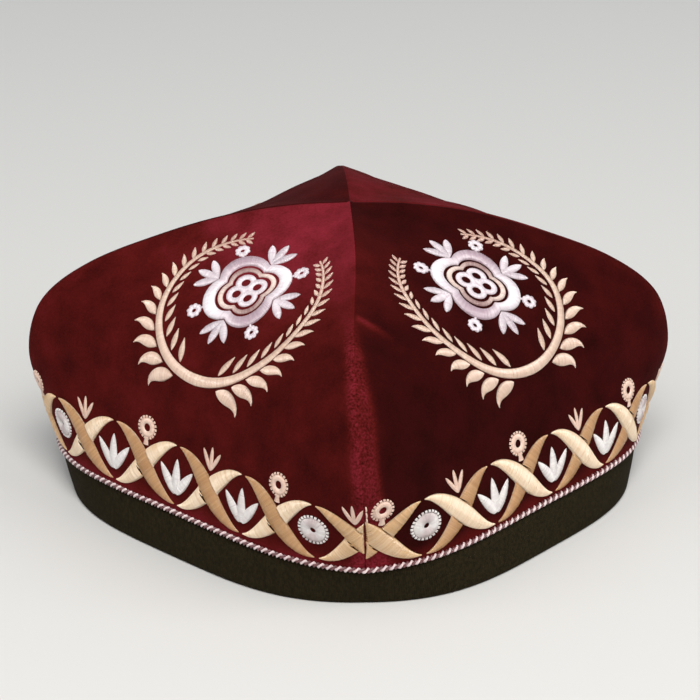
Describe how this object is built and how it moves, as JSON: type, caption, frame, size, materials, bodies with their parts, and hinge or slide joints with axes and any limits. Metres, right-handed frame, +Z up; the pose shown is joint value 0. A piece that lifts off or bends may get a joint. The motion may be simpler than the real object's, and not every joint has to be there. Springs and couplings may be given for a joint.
{
  "type": "embroidered velvet cap",
  "caption": "Peaked velvet skullcap, square with soft corners, embroidered with wreaths and a twisted border, with a black woven rim binding; open below to sit on a head.",
  "frame": {"origin": "centre of the rim, on the plane of its underside", "axes": "+Z up through the apex, -Y towards the front seam, +X towards the right seam"},
  "size_m": [0.2234, 0.2234, 0.1014],
  "materials": {
    "velvet": "maroon cotton velvet with a short pile, embroidered in pale thread",
    "binding": "black woven ribbon, matte",
    "thread": "shiny embroidery thread in gold, cream, white and pink, satin stitched"
  },
  "bodies": {
    "root": {"panel_front_right": "velvet", "panel_back_right": "velvet", "panel_back_left": "velvet", "panel_front_left": "velvet", "rim_binding": "binding"}
  },
  "joints": []
}
